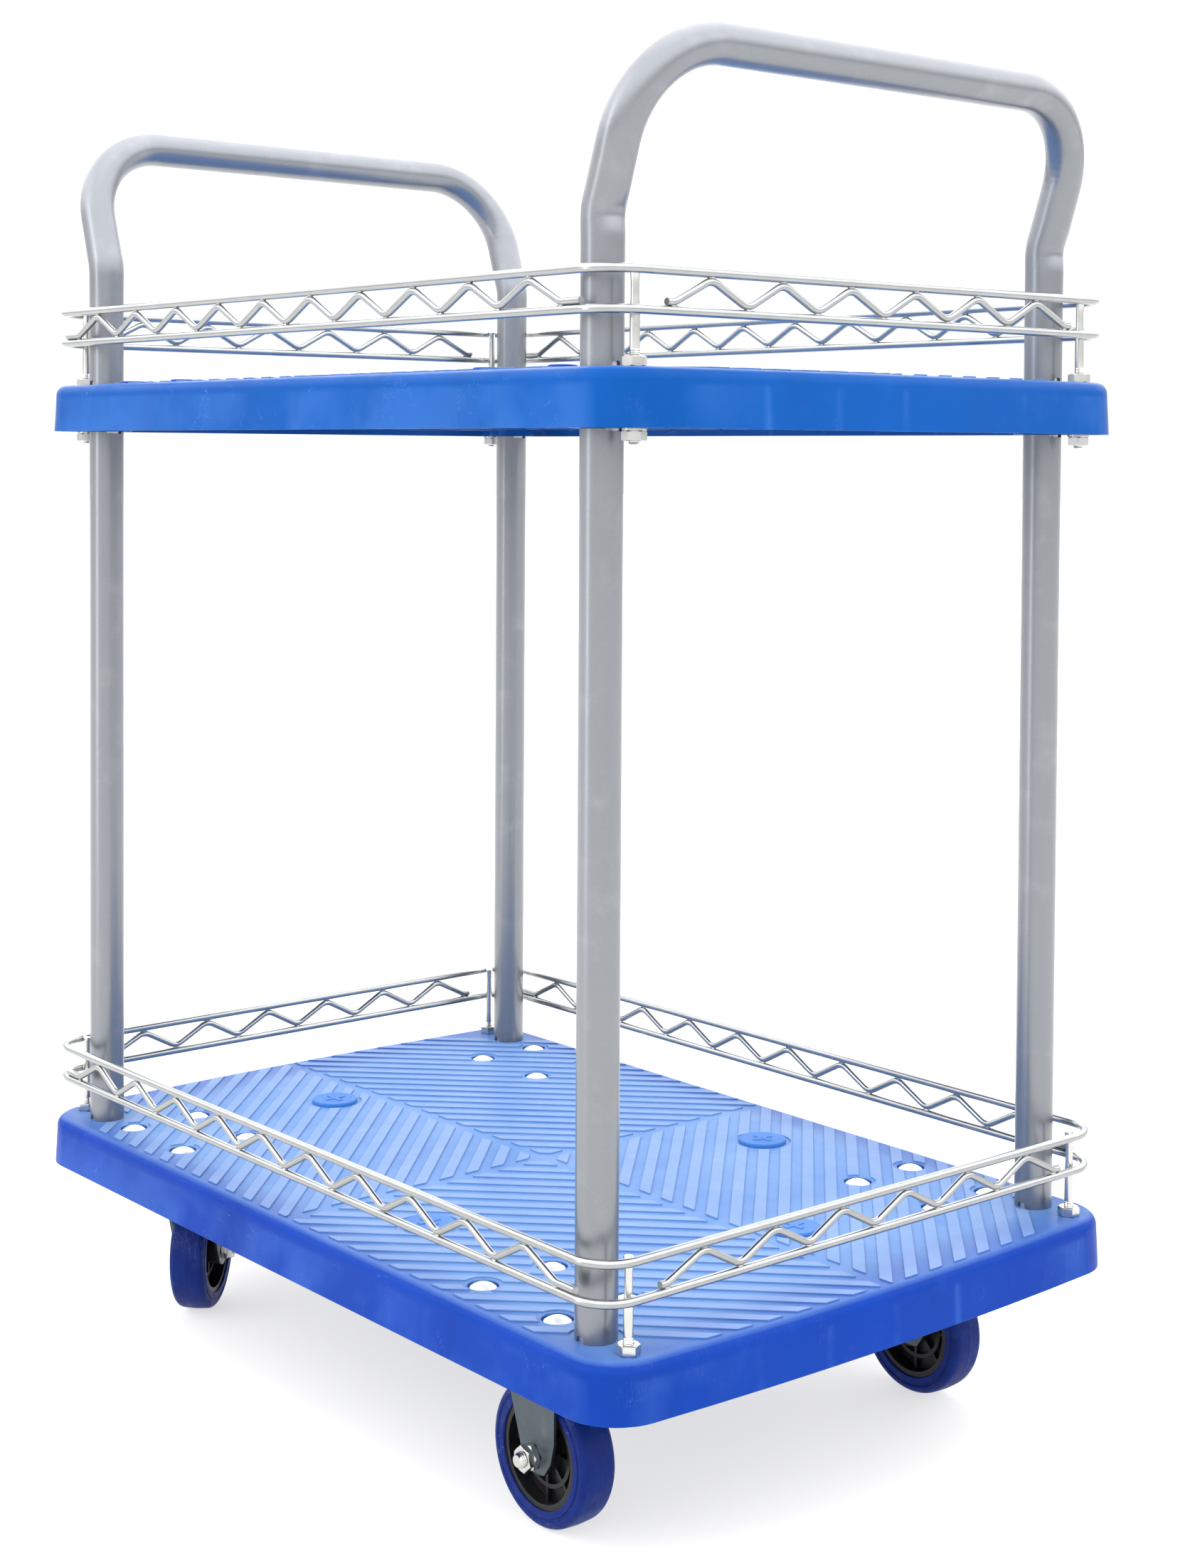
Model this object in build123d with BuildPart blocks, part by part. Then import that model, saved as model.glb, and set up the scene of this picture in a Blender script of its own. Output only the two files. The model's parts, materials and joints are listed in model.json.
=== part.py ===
from build123d import *
import math
import os

# A two-tier platform cart: two ribbed plastic decks on four tube posts, a tube handle over each end,
# a wire rail round each deck, two fixed casters and two swivel casters.
# Millimetres. +Z is up, the origin is on the floor under the middle of the cart, and +X points to the
# end with the fixed casters, which is the front. Left is +Y.

os.makedirs("parts", exist_ok=True)

TOP = (Align.CENTER, Align.CENTER, Align.MAX)
BASE = (Align.CENTER, Align.CENTER, Align.MIN)

# ---------------------------------------------------------------- driving sizes
wheel_radius = 50
caster_height = 128
bolt_spacing_x = 80
bolt_spacing_y = 60
caster_x = 240
caster_y = 182

deck_half_length = 373
deck_half_width = 250
end_bow = 10
corner_radius = 40
deck_height = 38
pad_drop = 29

post_x = 321.8
post_y = 214.2
post_length = 578.5
tube_radius = 14
tube_wall = 1.5

# heights above the floor that follow from them
lower_deck_top = caster_height + pad_drop
lower_skirt_bottom = lower_deck_top - deck_height
upper_skirt_bottom = lower_deck_top + post_length
upper_deck_top = upper_skirt_bottom + deck_height

# ---------------------------------------------------------------- deck moulding
skirt_draft = 3
edge_radius = 8
skin = 5
wall = 4
rib = 3
rib_depth = 28
rib_pitch = 62.5
rib_columns = 11
rib_rows = 7
rib_clip = 3

post_boss_radius = 21
stud_boss_radius = 9
cap_boss_radius = 21
bolt_boss_radius = 11
pad_length = 108
pad_width = 88
pad_clearance = 2
kingpin_relief_radius = 14
kingpin_relief_depth = 8

stripe_pitch = 25
stripe_offset = 2.5
stripe_height = 1
stripe_count = 21
stripe_border = 11
midline_width = 10

cap_radius = 19.5
cap_rise = 3
cap_hole_radius = 17
cap_spigot = 12
cap_spigot_wall = 2
cap_cross_length = 18
cap_cross_width = 4
cap_cross_rise = 0.5
cap_margin = 4
cap_places = [(77, 168), (77, -168), (250, 33), (-242, -38)]

recess_radius = 11
recess_depth = 2.5
recess_margin = 3
deck_hole_radius = 4.4
post_margin = 5
hole_plug_radius = 10
hole_plug_rise = 3
hole_plug_stem = 12

# ---------------------------------------------------------------- fasteners
slip = 0.05
m8_radius = 4
m8_flats = 14
m8_nut_height = 6.5
m8_washer_radius = 8
m10_radius = 5
m10_flats = 16
m10_head_height = 6.4
m10_washer_radius = 10
washer_thickness = 1.6
post_washer_thickness = 2
thread_end = 2
thread_chamfer = 0.8
corner_chamfer = 0.9
round_head_radius = 9.5
round_head_height = 4.5
round_head_dome = 14.6
stud_radius = 3.5

# ---------------------------------------------------------------- rails
ring_half_length = 361
ring_half_width = 242.5
ring_corner_radius = 27
ring_wire_radius = 3
lower_ring_height = 35
upper_ring_height = 60
zigzag_wire_radius = 2.5
zigzag_pitch = 63
zigzag_slope = 28
zigzag_bend_radius = 12
end_zigzag_waves = 3
side_zigzag_waves = 5
end_zigzag_reach = 195
side_zigzag_reach = 335
stud_x = ring_half_length - ring_wire_radius - stud_radius
stud_y = 215.5
stud_rise = 62

# ---------------------------------------------------------------- posts and handles
notch_width = 6
foot_notch_height = 4
head_notch_width = 14
head_notch_height = 2
tube_plug_length = 22
joint_stud_length = deck_height + 36
post_bolt_length = post_washer_thickness + deck_height + 18
handle_upright = 99
handle_slant = 18.5
handle_rise = 205.5
handle_kink_radius = 45
handle_corner_radius = 68

# ---------------------------------------------------------------- casters and wheels
plate_length = 105
plate_width = 85
plate_thickness = 3
plate_corner_radius = 6
axle_drop = caster_height - wheel_radius
fork_gap = 32
leg_thickness = 2.5
leg_face = fork_gap / 2
trail = 35
swivel_heading = 133.4
axle_nut_height = 4.7
axle_end = 32

race_radius = 22.5
race_top = 8.5
race_rise = 4.5
ball_radius = 3
ball_count = 20
ball_level = -10.5
crown_top = -17
crown_radius = 29
crown_reach = 42
leg_back = -12
leg_foot_radius = 14
leg_corner_radius = 4
race_width = 10
kingpin_radius = 6
kingpin_head_radius = 10
kingpin_foot_height = 4
kingpin_head_height = 3
kingpin_head_round = 1.5

tyre_half_width = 14.5
tyre_bore = 37
tread_crown = 1
tread_corner_radius = 4.5
side_groove_ring = 43
side_groove_radius = 0.8
hub_half_length = 15.5
hub_rim_half_length = 13
hub_rim_wall = 4
hub_web_half_thickness = 2
hub_boss_radius = 13
hub_ridge_radius = 23
hub_ridge_width = 3
hub_rib_half_height = 6
hub_ribs = 8
hub_rib_width = 2
sleeve_radius = 7


# ---------------------------------------------------------------- shared helpers
def four(x, y, z=0):
    """The four places that mirror each other about the cart's two middle planes."""
    return [(x, y, z), (x, -y, z), (-x, y, z), (-x, -y, z)]


def save(form, name, *places):
    """Write one node: the form, repeated at each place."""
    with BuildPart() as piece:
        with Locations(*places):
            add(form)
    piece.part.label = name
    export_step(piece.part, f"parts/{name}.step")


def hex_nut(flats, height, bore_radius):
    with BuildPart() as nut:
        Cylinder(flats / math.sqrt(3), height, align=BASE)
        chamfer(nut.edges().filter_by(GeomType.CIRCLE), corner_chamfer)
        with BuildSketch():
            RegularPolygon(flats / 2, 6, major_radius=False)
        extrude(amount=height, mode=Mode.INTERSECT)
        Cylinder(bore_radius, height, align=BASE, mode=Mode.SUBTRACT)
    return nut.part


def washer(outer_radius, bore_radius, thickness):
    with BuildPart() as ring:
        Cylinder(outer_radius, thickness, align=TOP)
        Cylinder(bore_radius, thickness, align=TOP, mode=Mode.SUBTRACT)
    return ring.part


def hex_bolt(flats, head_height, shank_radius, shank_length):
    """Head below the origin, shank upwards from it."""
    with BuildPart() as bolt:
        Cylinder(flats / math.sqrt(3), head_height, align=TOP)
        chamfer(bolt.edges().filter_by(GeomType.CIRCLE).sort_by(Axis.Z)[0], corner_chamfer)
        with BuildSketch():
            RegularPolygon(flats / 2, 6, major_radius=False)
        extrude(amount=-head_height, mode=Mode.INTERSECT)
        Cylinder(shank_radius, shank_length, align=BASE)
        chamfer(bolt.faces().sort_by(Axis.Z)[-1].edges(), thread_chamfer)
    return bolt.part


# ---------------------------------------------------------------- decks
def deck_outline(inset):
    """The skirt's plan: straight sides, slightly bowed ends and round corners."""
    half_width = deck_half_width - inset
    end = deck_half_length - inset
    with BuildSketch() as outline:
        with BuildLine():
            Line((-end, -half_width), (end, -half_width))
            ThreePointArc((end, -half_width), (end + end_bow, 0), (end, half_width))
            Line((end, half_width), (-end, half_width))
            ThreePointArc((-end, half_width), (-end - end_bow, 0), (-end, -half_width))
        make_face()
        fillet(outline.vertices(), corner_radius - inset)
    return outline.sketch


def grip_pattern():
    """Diamonds one inside the other, parted by plain bands on both midlines and kept off the fittings."""
    band = stripe_pitch / 4
    with BuildSketch() as pattern:
        for count in range(stripe_count, 0, -1):
            middle = count * stripe_pitch - stripe_offset
            outer = (middle + band) * math.sqrt(2)
            inner = (middle - band) * math.sqrt(2)
            Rectangle(outer, outer, rotation=45)
            Rectangle(inner, inner, rotation=45, mode=Mode.SUBTRACT)
        Rectangle(3 * deck_half_length, midline_width, mode=Mode.SUBTRACT)
        Rectangle(midline_width, 3 * deck_half_length, mode=Mode.SUBTRACT)
        with Locations(*cap_places):
            Circle(cap_radius + cap_margin, mode=Mode.SUBTRACT)
        with GridLocations(2 * caster_x, 2 * caster_y, 2, 2):
            with GridLocations(bolt_spacing_x, bolt_spacing_y, 2, 2):
                Circle(recess_radius + recess_margin, mode=Mode.SUBTRACT)
        with GridLocations(2 * post_x, 2 * post_y, 2, 2):
            Circle(tube_radius + post_margin, mode=Mode.SUBTRACT)
        add(deck_outline(stripe_border), mode=Mode.INTERSECT)
    return pattern.sketch


def make_deck():
    """One deck with the top of its skin at zero. Both tiers are the same moulding."""
    with BuildPart() as deck:
        with BuildSketch(Plane.XY.offset(-deck_height)):
            add(deck_outline(0))
        extrude(amount=deck_height, taper=skirt_draft)
        fillet(deck.faces().sort_by(Axis.Z)[-1].edges(), edge_radius)
        with BuildSketch(Plane.XY.offset(-deck_height)):
            add(deck_outline(wall))
        extrude(amount=deck_height - skin, taper=skirt_draft, mode=Mode.SUBTRACT)

        # ribs under the skin, with a ring round each cap hole
        with BuildSketch(Plane.XY.offset(-skin)):
            with GridLocations(rib_pitch, 0, rib_columns, 1):
                Rectangle(rib, 2 * deck_half_width)
            with GridLocations(0, rib_pitch, 1, rib_rows):
                Rectangle(3 * deck_half_length, rib)
            with Locations(*cap_places):
                Circle(cap_boss_radius)
            add(deck_outline(rib_clip), mode=Mode.INTERSECT)
        extrude(amount=-rib_depth)

        # bosses for the posts and the rail studs reach down to the skirt's edge
        with BuildSketch(Plane.XY.offset(-skin)):
            with GridLocations(2 * post_x, 2 * post_y, 2, 2):
                Circle(post_boss_radius)
            with GridLocations(2 * stud_x, 2 * stud_y, 2, 2):
                Circle(stud_boss_radius)
        extrude(amount=skin - deck_height)

        # caster pads: everything over the plate stops at the mounting face
        with BuildSketch(Plane.XY.offset(-pad_drop)):
            with GridLocations(2 * caster_x, 2 * caster_y, 2, 2):
                Rectangle(pad_length + 2 * pad_clearance, pad_width + 2 * pad_clearance)
        extrude(amount=pad_drop - deck_height, mode=Mode.SUBTRACT)
        with BuildSketch(Plane.XY.offset(-skin)):
            with GridLocations(2 * caster_x, 2 * caster_y, 2, 2):
                Rectangle(pad_length, pad_width)
                Rectangle(pad_length - 2 * wall, pad_width - 2 * wall, mode=Mode.SUBTRACT)
                Rectangle(rib, pad_width)
                Rectangle(pad_length, rib)
                with GridLocations(bolt_spacing_x, bolt_spacing_y, 2, 2):
                    Circle(bolt_boss_radius)
        extrude(amount=skin - pad_drop)
        with BuildSketch(Plane.XY.offset(-pad_drop)):
            with GridLocations(2 * caster_x, 2 * caster_y, 2, 2):
                Circle(kingpin_relief_radius)
        extrude(amount=kingpin_relief_depth, mode=Mode.SUBTRACT)

        # raised grip stripes
        with BuildSketch():
            add(grip_pattern())
        extrude(amount=stripe_height)

        # holes
        with Locations(*four(caster_x, caster_y)):
            with GridLocations(bolt_spacing_x, bolt_spacing_y, 2, 2):
                CounterBoreHole(deck_hole_radius, recess_radius, recess_depth, depth=deck_height)
        with Locations(*four(post_x, post_y)):
            Hole(m10_radius + slip, depth=deck_height)
        with Locations(*four(stud_x, stud_y)):
            Hole(stud_radius + slip, depth=deck_height)
        with Locations(*cap_places):
            Hole(cap_hole_radius, depth=deck_height)
    return deck.part


def deck_cap():
    """Round cap with a shallow cross, held by a hollow spigot."""
    with BuildPart() as cap:
        Cylinder(cap_radius, cap_rise, align=BASE)
        fillet(cap.faces().sort_by(Axis.Z)[-1].edges(), cap_rise / 2)
        with BuildSketch(Plane.XY.offset(cap_rise)):
            Rectangle(cap_cross_length, cap_cross_width)
            Rectangle(cap_cross_width, cap_cross_length)
        extrude(amount=cap_cross_rise)
        Cylinder(cap_hole_radius - slip, cap_spigot, align=TOP)
        Cylinder(cap_hole_radius - cap_spigot_wall, cap_spigot, align=TOP, mode=Mode.SUBTRACT)
    return cap.part


def bolt_hole_plug():
    """Plug that fills a caster bolt hole on the deck that carries no casters."""
    with BuildPart() as plug:
        with Locations((0, 0, -recess_depth)):
            Cylinder(hole_plug_radius, recess_depth + hole_plug_rise, align=BASE)
        fillet(plug.faces().sort_by(Axis.Z)[-1].edges(), hole_plug_rise / 2)
        with Locations((0, 0, -recess_depth)):
            Cylinder(deck_hole_radius - slip, hole_plug_stem, align=TOP)
    return plug.part


# ---------------------------------------------------------------- posts and handles
def make_post():
    """Open tube standing on zero, with a notch at each end."""
    with BuildPart() as post:
        Cylinder(tube_radius, post_length, align=BASE)
        Cylinder(tube_radius - tube_wall, post_length, align=BASE, mode=Mode.SUBTRACT)
        with Locations((0, -tube_radius, 0)):
            Box(notch_width, notch_width, foot_notch_height, align=BASE, mode=Mode.SUBTRACT)
        with Locations((tube_radius, 0, post_length)):
            Box(notch_width, head_notch_width, head_notch_height, align=TOP, mode=Mode.SUBTRACT)
    return post.part


def handle_path():
    """Centre line of the front handle: two uprights that lean outwards above a kink, and one bar."""
    lean = math.radians(handle_slant)
    above_kink = handle_rise - handle_upright
    outwards = (math.sin(lean), 0, math.cos(lean))
    kink_run = handle_kink_radius * math.tan(lean / 2)
    kink_middle = handle_kink_radius * (1 - math.cos(lean / 2))
    slant_length = above_kink / math.cos(lean)
    corner_middle = handle_corner_radius * (1 - math.sqrt(0.5))

    def slanted(along, across):
        return (
            post_x + outwards[0] * along,
            across,
            handle_upright + outwards[2] * along,
        )

    start_of_kink = handle_upright - kink_run
    kink_x = post_x + kink_middle
    kink_z = start_of_kink + handle_kink_radius * math.sin(lean / 2)
    straight_end = slant_length - handle_corner_radius
    inner_y = post_y - handle_corner_radius
    with BuildLine() as path:
        Line((post_x, -post_y, 0), (post_x, -post_y, start_of_kink))
        ThreePointArc(
            (post_x, -post_y, start_of_kink),
            (kink_x, -post_y, kink_z),
            slanted(kink_run, -post_y),
        )
        Line(slanted(kink_run, -post_y), slanted(straight_end, -post_y))
        ThreePointArc(
            slanted(straight_end, -post_y),
            slanted(slant_length - corner_middle, -post_y + corner_middle),
            slanted(slant_length, -inner_y),
        )
        Line(slanted(slant_length, -inner_y), slanted(slant_length, inner_y))
        ThreePointArc(
            slanted(slant_length, inner_y),
            slanted(slant_length - corner_middle, post_y - corner_middle),
            slanted(straight_end, post_y),
        )
        Line(slanted(straight_end, post_y), slanted(kink_run, post_y))
        ThreePointArc(
            slanted(kink_run, post_y),
            (kink_x, post_y, kink_z),
            (post_x, post_y, start_of_kink),
        )
        Line((post_x, post_y, start_of_kink), (post_x, post_y, 0))
    return path.line


def make_handle(notch_x, notch_y):
    """Front handle with its feet on zero. The notch direction is the side of the tube that is cut."""
    with BuildPart() as handle:
        with BuildLine():
            add(handle_path())
        with BuildSketch(Plane((post_x, -post_y, 0))):
            Circle(tube_radius)
            Circle(tube_radius - tube_wall, mode=Mode.SUBTRACT)
        sweep()
        feet = [(post_x, -post_y, 0), (post_x, post_y, 0)]
        with Locations(*feet):
            with Locations((notch_x * tube_radius, notch_y * tube_radius, 0)):
                Box(notch_width, notch_width, foot_notch_height, align=BASE, mode=Mode.SUBTRACT)
    return handle.part


def tube_plug():
    """Threaded plug pressed into the end of a tube, standing on zero."""
    with BuildPart() as plug:
        Cylinder(tube_radius - tube_wall - slip, tube_plug_length, align=BASE)
        Cylinder(m10_radius + slip, tube_plug_length, align=BASE, mode=Mode.SUBTRACT)
    return plug.part


def joint_stud():
    """Rod that joins a post to the handle foot above it, through the upper deck."""
    with BuildPart() as rod:
        Cylinder(m10_radius, joint_stud_length)
        chamfer(rod.edges().filter_by(GeomType.CIRCLE), thread_chamfer)
    return rod.part


# ---------------------------------------------------------------- rails
def ring_wire():
    """One closed hoop of the rail, its centre line on zero."""
    with BuildPart() as ring:
        with BuildLine():
            with BuildSketch(mode=Mode.PRIVATE) as plan:
                RectangleRounded(2 * ring_half_length, 2 * ring_half_width, ring_corner_radius)
            add(plan.sketch.face().outer_wire())
        with BuildSketch(Plane((0, -ring_half_width, 0), z_dir=(1, 0, 0))):
            Circle(ring_wire_radius)
        sweep()
    return ring.part


def zigzag_wire(waves, reach):
    """Bent wire between the two hoops, along X, with its ends lying on the lower hoop."""
    half = zigzag_pitch / 2
    middle = (lower_ring_height + upper_ring_height) / 2
    corner_rise = half * math.tan(math.radians(zigzag_slope)) / 2
    resting = lower_ring_height + ring_wire_radius + zigzag_wire_radius
    bends = [(-reach, 0, resting), (-2 * waves * half, 0, resting)]
    for step in range(1 - 2 * waves, 2 * waves):
        way = -1 if step % 2 == 0 else 1
        bends.append((step * half, 0, middle + way * corner_rise))
    bends += [(2 * waves * half, 0, resting), (reach, 0, resting)]
    with BuildPart() as wire:
        with BuildLine():
            FilletPolyline(*bends, radius=zigzag_bend_radius)
        with BuildSketch(Plane(bends[0], z_dir=(1, 0, 0))):
            Circle(zigzag_wire_radius)
        sweep()
    return wire.part


def rail_stud(reach_below):
    """Threaded rod from a reach below the skirt up to the hoops, with the deck's top at zero."""
    bottom = -deck_height - reach_below
    with BuildPart() as rod:
        with Locations((0, 0, bottom)):
            Cylinder(stud_radius, stud_rise - bottom, align=BASE)
        chamfer(rod.edges().filter_by(GeomType.CIRCLE), thread_chamfer)
    return rod.part


# ---------------------------------------------------------------- wheels, on their own axle along Z
def wheel_hub():
    """Hub with a rim, a thin web, and a ridge and ribs on both sides of the web."""
    rim_length = 2 * hub_rim_half_length
    rim_bore = tyre_bore - hub_rim_wall
    with BuildPart() as hub:
        Cylinder(tyre_bore, rim_length)
        Cylinder(rim_bore, rim_length, mode=Mode.SUBTRACT)
        Cylinder(rim_bore + hub_rim_wall / 4, 2 * hub_web_half_thickness)
        Cylinder(hub_boss_radius, 2 * hub_half_length)
        with BuildSketch(Plane.XY.offset(-hub_rib_half_height)):
            Circle(hub_ridge_radius + hub_ridge_width / 2)
            Circle(hub_ridge_radius - hub_ridge_width / 2, mode=Mode.SUBTRACT)
            with PolarLocations((hub_boss_radius + rim_bore) / 2, hub_ribs):
                Rectangle(rim_bore - hub_boss_radius + hub_rim_wall / 2, hub_rib_width)
        extrude(amount=2 * hub_rib_half_height)
        Cylinder(sleeve_radius + slip, 2 * hub_half_length, mode=Mode.SUBTRACT)
    return hub.part


def wheel_tyre():
    """Crowned tread with rounded shoulders and a fine groove round each side wall."""
    side = tyre_half_width
    tread_edge = wheel_radius - tread_crown
    with BuildPart() as tyre:
        with BuildSketch(Plane.XZ) as section:
            with BuildLine():
                Polyline((tread_edge, -side), (tyre_bore, -side), (tyre_bore, side), (tread_edge, side))
                ThreePointArc((tread_edge, side), (wheel_radius, 0), (tread_edge, -side))
            make_face()
            fillet(section.vertices().group_by(Axis.X)[-1], tread_corner_radius)
            with Locations((side_groove_ring, side), (side_groove_ring, -side)):
                Circle(side_groove_radius, mode=Mode.SUBTRACT)
        revolve(axis=Axis.Z)
    return tyre.part


def axle_sleeve():
    """Spacer between the fork legs that the hub turns on."""
    with BuildPart() as sleeve:
        Cylinder(sleeve_radius, fork_gap)
        Cylinder(m10_radius + slip, fork_gap, mode=Mode.SUBTRACT)
    return sleeve.part


# ---------------------------------------------------------------- casters, with the mounting face at zero
def caster_plate():
    with BuildPart() as plate:
        with BuildSketch():
            RectangleRounded(plate_length, plate_width, plate_corner_radius)
        extrude(amount=-plate_thickness)
        with GridLocations(bolt_spacing_x, bolt_spacing_y, 2, 2):
            Hole(deck_hole_radius, depth=plate_thickness)
    return plate.part


def rigid_fork():
    """Pressed fork of a fixed caster: the plate and two legs in one piece."""
    axle_level = -axle_drop
    with BuildPart() as fork:
        add(caster_plate())
        with BuildSketch(Plane.XZ.offset(leg_face)):
            with BuildLine():
                Polyline(
                    (-29, -plate_thickness),
                    (-24, axle_level + 36.5),
                    (-12, axle_level + 2),
                    (-6, axle_level - 10),
                    (12, axle_level - 10),
                    (19, axle_level),
                    (22.5, axle_level + 14),
                    (22.5, -plate_thickness),
                    close=True,
                )
            leg = make_face()
            fillet(leg.vertices().sort_by(Axis.Y)[0:4], leg_corner_radius)
            with Locations((0, axle_level)):
                Circle(m10_radius + slip, mode=Mode.SUBTRACT)
        extrude(amount=leg_thickness)
        mirror(about=Plane.XZ)
    return fork.part


def race_ring(height, align):
    """Upright ring of one half of the race, wider than the balls it carries."""
    Cylinder(race_radius + race_width / 2, height, align=align)
    Cylinder(race_radius - race_width / 2, height, align=align, mode=Mode.SUBTRACT)


def swivel_plate():
    """Mounting plate with the pressed upper half of the ball race."""
    with BuildPart() as plate:
        race_ring(race_top, TOP)
        add(caster_plate())
        with Locations((0, 0, ball_level)):
            Torus(race_radius, ball_radius + slip, mode=Mode.SUBTRACT)
        Hole(kingpin_radius + slip, depth=plate_thickness)
    return plate.part


def swivel_fork():
    """Swivelling fork: lower race, crown and two legs that trail along +X."""
    crown_bottom = crown_top - plate_thickness
    with BuildPart() as fork:
        with Locations((0, 0, crown_top)):
            race_ring(race_rise, BASE)
        with BuildSketch(Plane.XY.offset(crown_top)):
            Circle(crown_radius)
            with Locations((crown_reach / 2, 0)):
                Rectangle(crown_reach, fork_gap + 2 * leg_thickness)
        extrude(amount=-plate_thickness)
        with Locations((0, 0, ball_level)):
            Torus(race_radius, ball_radius + slip, mode=Mode.SUBTRACT)
        with BuildSketch(Plane.XZ.offset(leg_face)):
            with Locations((trail, -axle_drop)):
                Circle(leg_foot_radius)
            with BuildLine():
                Line((leg_back, crown_bottom), (crown_reach, crown_bottom))
            make_hull()
            with Locations((trail, -axle_drop)):
                Circle(m10_radius + slip, mode=Mode.SUBTRACT)
        legs = extrude(amount=leg_thickness)
        mirror(legs, about=Plane.XZ)
        with Locations((0, 0, crown_top)):
            Hole(kingpin_radius, depth=plate_thickness)
    return fork.part


def kingpin():
    """Rivet fixed in the fork and turning in the plate."""
    play = 2 * slip
    with BuildPart() as pin:
        with Locations((0, 0, crown_top - plate_thickness)):
            Cylinder(kingpin_head_radius, kingpin_foot_height, align=TOP)
            Cylinder(kingpin_radius, plate_thickness - crown_top + play, align=BASE)
        with Locations((0, 0, play)):
            Cylinder(kingpin_head_radius, kingpin_head_height, align=BASE)
        rims = pin.edges().filter_by(GeomType.CIRCLE).group_by(Axis.Z)
        fillet(rims[0] + rims[-1], kingpin_head_round)
    return pin.part


def race_balls():
    with BuildPart() as balls:
        with Locations((0, 0, ball_level)):
            with PolarLocations(race_radius, ball_count):
                Sphere(ball_radius)
    return balls.part


def axle_bolt():
    """Bolt along Z with its head under the far fork leg, centred on the wheel."""
    with BuildPart() as bolt:
        with Locations((0, 0, -leg_face - leg_thickness)):
            add(hex_bolt(m10_flats, m10_head_height, m10_radius, axle_end + leg_face + leg_thickness))
    return bolt.part


def axle_nuts():
    """Two nuts, one against the other, outside the near fork leg."""
    first = leg_face + leg_thickness
    with BuildPart() as nuts:
        with Locations((0, 0, first), (0, 0, first + axle_nut_height)):
            add(hex_nut(m10_flats, axle_nut_height, m10_radius + slip))
    return nuts.part


def caster_bolt():
    """Round-headed bolt; its head sits in the deck's recess with the deck's top at zero."""
    shank_end = -pad_drop - plate_thickness - washer_thickness - m8_nut_height - thread_end
    with BuildPart() as bolt:
        with Locations((0, 0, -recess_depth)):
            Cylinder(round_head_radius, round_head_height, align=BASE)
        with Locations((0, 0, round_head_height - recess_depth - round_head_dome)):
            Sphere(round_head_dome, mode=Mode.INTERSECT)
        with Locations((0, 0, shank_end)):
            Cylinder(m8_radius, -recess_depth - shank_end, align=BASE)
        chamfer(bolt.edges().filter_by(GeomType.CIRCLE).sort_by(Axis.Z)[0], thread_chamfer)
    return bolt.part


# ---------------------------------------------------------------- write the nodes
sides = {"left": 1, "right": -1}
ends = {"front": 1, "rear": -1}
tiers = {"lower": lower_deck_top, "upper": upper_deck_top}

# decks with their caps, plugs and rails
deck_form = make_deck()
ring_form = ring_wire()
end_zigzag = zigzag_wire(end_zigzag_waves, end_zigzag_reach)
side_zigzag = zigzag_wire(side_zigzag_waves, side_zigzag_reach)
for tier, top in tiers.items():
    save(deck_form, f"{tier}_deck", (0, 0, top))
    save(deck_cap(), f"{tier}_deck_caps", *[(x, y, top) for x, y in cap_places])
    save(ring_form, f"{tier}_rail_bottom_wire", (0, 0, top + lower_ring_height))
    save(ring_form, f"{tier}_rail_top_wire", (0, 0, top + upper_ring_height))
    save(
        end_zigzag,
        f"{tier}_rail_end_zigzags",
        Location((ring_half_length, 0, top), (0, 0, 90)),
        Location((-ring_half_length, 0, top), (0, 0, -90)),
    )
    save(side_zigzag, f"{tier}_rail_side_zigzags", (0, ring_half_width, top), (0, -ring_half_width, top))

caster_places = [(x, y) for x, y, z in four(caster_x, caster_y)]
bolt_places = []
for centre_x, centre_y in caster_places:
    for x, y, z in four(bolt_spacing_x / 2, bolt_spacing_y / 2):
        bolt_places.append((centre_x + x, centre_y + y))
save(bolt_hole_plug(), "upper_deck_plugs", *[(x, y, upper_deck_top) for x, y in bolt_places])

# rail studs: the upper ones have a washer under the skirt, the lower ones end inside their nuts
rail_nut = hex_nut(m8_flats, m8_nut_height, stud_radius + slip)
save(
    rail_stud(m8_nut_height),
    "lower_rail_studs",
    *four(stud_x, stud_y, lower_deck_top),
)
save(
    rail_stud(washer_thickness + m8_nut_height + thread_end),
    "upper_rail_studs",
    *four(stud_x, stud_y, upper_deck_top),
)
save(
    rail_nut,
    "rail_nuts",
    *four(stud_x, stud_y, lower_deck_top),
    *four(stud_x, stud_y, upper_deck_top),
    *four(stud_x, stud_y, lower_skirt_bottom - m8_nut_height),
    *four(stud_x, stud_y, upper_skirt_bottom - washer_thickness - m8_nut_height),
)
save(
    washer(m8_washer_radius, stud_radius + slip, washer_thickness),
    "rail_washers",
    *four(stud_x, stud_y, upper_skirt_bottom),
)

# posts, handles and what joins them
post_form = make_post()
for end, way_x in ends.items():
    for side, way_y in sides.items():
        save(post_form, f"post_{end}_{side}", (way_x * post_x, way_y * post_y, lower_deck_top))
save(make_handle(1, 0), "handle_front", (0, 0, upper_deck_top))
save(make_handle(0, 1), "handle_rear", Location((0, 0, upper_deck_top), (0, 0, 180)))
save(
    tube_plug(),
    "tube_plugs",
    *four(post_x, post_y, lower_deck_top),
    *four(post_x, post_y, upper_skirt_bottom - tube_plug_length),
    *four(post_x, post_y, upper_deck_top),
)
save(
    washer(m10_washer_radius, m10_radius + slip, post_washer_thickness),
    "post_washers",
    *four(post_x, post_y, lower_skirt_bottom),
)
save(
    hex_bolt(m10_flats, m10_head_height, m10_radius, post_bolt_length),
    "post_bolts",
    *four(post_x, post_y, lower_skirt_bottom - post_washer_thickness),
)
save(joint_stud(), "joint_studs", *four(post_x, post_y, upper_deck_top - deck_height / 2))

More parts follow.
